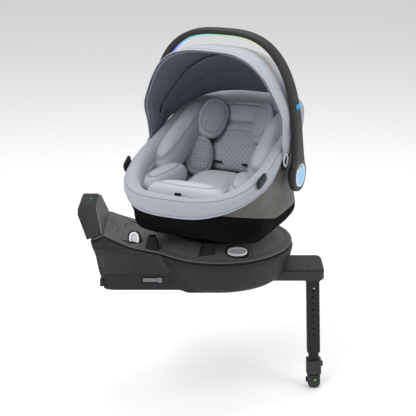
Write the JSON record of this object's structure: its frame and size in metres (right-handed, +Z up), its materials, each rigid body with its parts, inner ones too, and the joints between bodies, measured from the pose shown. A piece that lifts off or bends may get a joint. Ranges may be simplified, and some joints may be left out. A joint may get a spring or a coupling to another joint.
{
  "type": "infant car seat",
  "caption": "Infant carrier with folding canopy and turning carry handle, docked on a swivelling vehicle base with extending anchor arms and a folding, telescoping support leg.",
  "frame": {"origin": "On the base's flat underside, on the swivel axis.", "axes": "+Z up. +X towards the support leg, -X towards the vehicle anchors. The carrier is turned 25 degrees towards -Y, the car's door."},
  "size_m": [0.6435, 0.5789, 0.9774],
  "materials": {
    "housing": "fine-grained black plastic",
    "deck": "warm dark grey textured plastic",
    "shell": "warm grey textured plastic",
    "handle": "charcoal textured plastic",
    "black_plastic": "black plastic",
    "white_plastic": "satin white",
    "button_blue": "satin light blue",
    "tag_blue": "printed blue",
    "light_strip": "glowing diffuser",
    "indicator_green": "bright green",
    "steel": "zinc-plated steel",
    "tube": "black powder-coated tube",
    "foam": "expanded foam",
    "fabric": "light cool-grey knitted cover",
    "canopy_fabric": "light grey woven canopy, darker lining",
    "quilt": "quilted grey jersey"
  },
  "bodies": {
    "base": {"base_lower_housing": "housing", "base_deck": "deck", "left_guide_lug": "black_plastic", "right_guide_lug": "black_plastic", "rebound_block": "housing", "block_face_panel": "deck", "block_indicator": "black_plastic", "leg_arm": "housing", "leg_hinge_pin": "steel", "bearing_race": "steel"},
    "side_release": {"side_release_button": "white_plastic"},
    "front_release": {"front_release_button": "white_plastic"},
    "anchor_lever": {"anchor_adjust_lever": "steel"},
    "near_anchor": {"near_anchor_arm": "tube", "near_anchor_jaw": "steel"},
    "far_anchor": {"far_anchor_arm": "tube", "far_anchor_jaw": "steel"},
    "upper_leg": {"leg_collar": "housing", "leg_outer_tube": "tube"},
    "lower_leg": {"leg_inner_tube": "tube", "leg_sleeve": "housing"},
    "leg_button": {"leg_adjust_button": "black_plastic"},
    "foot": {"foot_plunger": "black_plastic", "leg_foot": "housing", "foot_indicator": "indicator_green", "foot_latch": "black_plastic"},
    "turntable": {"turntable": "black_plastic", "foot_dock_hook": "steel", "head_dock_hook": "steel"},
    "carrier": {"carrier_shell": "shell", "foam_liner": "foam", "seat_cover": "fabric", "backrest_pad": "quilt", "left_body_pad": "quilt", "right_body_pad": "quilt", "left_wing_roll": "fabric", "right_wing_roll": "fabric", "left_thigh_bolster": "fabric", "right_thigh_bolster": "fabric", "seat_insert": "fabric", "front_bolster": "fabric", "adjuster_tab": "black_plastic", "left_belt_guide": "black_plastic", "right_belt_guide": "black_plastic", "left_pivot_boss": "black_plastic", "right_pivot_boss": "black_plastic", "left_canopy_clip": "black_plastic", "right_canopy_clip": "black_plastic", "front_canopy_panel": "canopy_fabric", "rear_canopy_panel": "canopy_fabric"},
    "headrest": {"head_band": "fabric", "left_head_pad": "quilt", "right_head_pad": "quilt"},
    "handle": {"carry_handle": "handle", "handle_light": "light_strip", "handle_tag": "tag_blue"},
    "left_hub": {"left_hub_button": "button_blue"},
    "right_hub": {"right_hub_button": "button_blue"},
    "front_bow": {"front_bow": "black_plastic"},
    "mid_bow": {"mid_bow": "black_plastic"}
  },
  "joints": [
    {"name": "seat_swivel", "type": "hinge", "parent": "base", "child": "turntable", "pos_m": [0, 0, 0.1], "axis": [0, 0, 1], "continuous": true},
    {"name": "carrier_lift", "type": "slide", "parent": "turntable", "child": "carrier", "axis": [0, 0, 1], "range_m": [0, 0.25]},
    {"name": "headrest_height", "type": "slide", "parent": "carrier", "child": "headrest", "axis": [0.222, 0.4761, 0.8509], "range_m": [0, 0.03]},
    {"name": "handle_turn", "type": "hinge", "parent": "carrier", "child": "handle", "pos_m": [0.01817, 0.03897, 0.279], "axis": [-0.9063, 0.4226, 0], "range_deg": [0, 100]},
    {"name": "left_hub_press", "type": "slide", "parent": "handle", "child": "left_hub", "axis": [-0.9063, 0.4226, 0], "range_m": [0, 0.004], "stiffness_N_per_m": 400, "springref_m": -0.002},
    {"name": "right_hub_press", "type": "slide", "parent": "handle", "child": "right_hub", "axis": [0.9063, -0.4226, 0], "range_m": [0, 0.004], "stiffness_N_per_m": 400, "springref_m": -0.002},
    {"name": "canopy_fold", "type": "hinge", "parent": "carrier", "child": "front_bow", "pos_m": [-0.00719, -0.01541, 0.321], "axis": [-0.9063, 0.4226, 0], "range_deg": [0, 54], "deforming": ["front_canopy_panel", "rear_canopy_panel"]},
    {"name": "mid_bow_fold", "type": "hinge", "parent": "carrier", "child": "mid_bow", "pos_m": [-0.00719, -0.01541, 0.321], "axis": [-0.9063, 0.4226, 0], "range_deg": [0, 20.2]},
    {"name": "near_anchor_slide", "type": "slide", "parent": "base", "child": "near_anchor", "axis": [-1, 0, 0], "range_m": [0, 0.1]},
    {"name": "far_anchor_slide", "type": "slide", "parent": "base", "child": "far_anchor", "axis": [-1, 0, 0], "range_m": [0, 0.1]},
    {"name": "anchor_lever_pull", "type": "slide", "parent": "base", "child": "anchor_lever", "axis": [1, 0, 0], "range_m": [0, 0.014], "stiffness_N_per_m": 400, "springref_m": -0.002},
    {"name": "side_release_press", "type": "slide", "parent": "base", "child": "side_release", "axis": [0.128, 0.788, -0.6022], "range_m": [0, 0.003], "stiffness_N_per_m": 400, "springref_m": -0.002},
    {"name": "front_release_press", "type": "slide", "parent": "base", "child": "front_release", "axis": [0, 0.454, -0.891], "range_m": [0, 0.003], "stiffness_N_per_m": 400, "springref_m": -0.002},
    {"name": "leg_fold", "type": "hinge", "parent": "base", "child": "upper_leg", "pos_m": [0.23, 0, -0.0145], "axis": [0, 1, 0], "range_deg": [0, 88]},
    {"name": "leg_extend", "type": "slide", "parent": "upper_leg", "child": "lower_leg", "axis": [0.0384, 0, -0.9993], "range_m": [0, 0.126]},
    {"name": "leg_adjust_press", "type": "slide", "parent": "lower_leg", "child": "leg_button", "axis": [-0.9993, 0, -0.0384], "range_m": [0, 0.002], "stiffness_N_per_m": 400, "springref_m": -0.002},
    {"name": "foot_press", "type": "slide", "parent": "lower_leg", "child": "foot", "axis": [-0.0384, 0, 0.9993], "range_m": [0, 0.003], "stiffness_N_per_m": 1500, "springref_m": -0.004}
  ],
  "couplings": [
    {"joint": "mid_bow_fold", "follows": "canopy_fold", "ratio": 0.37},
    {"joint": "far_anchor_slide", "follows": "near_anchor_slide", "ratio": 1}
  ]
}
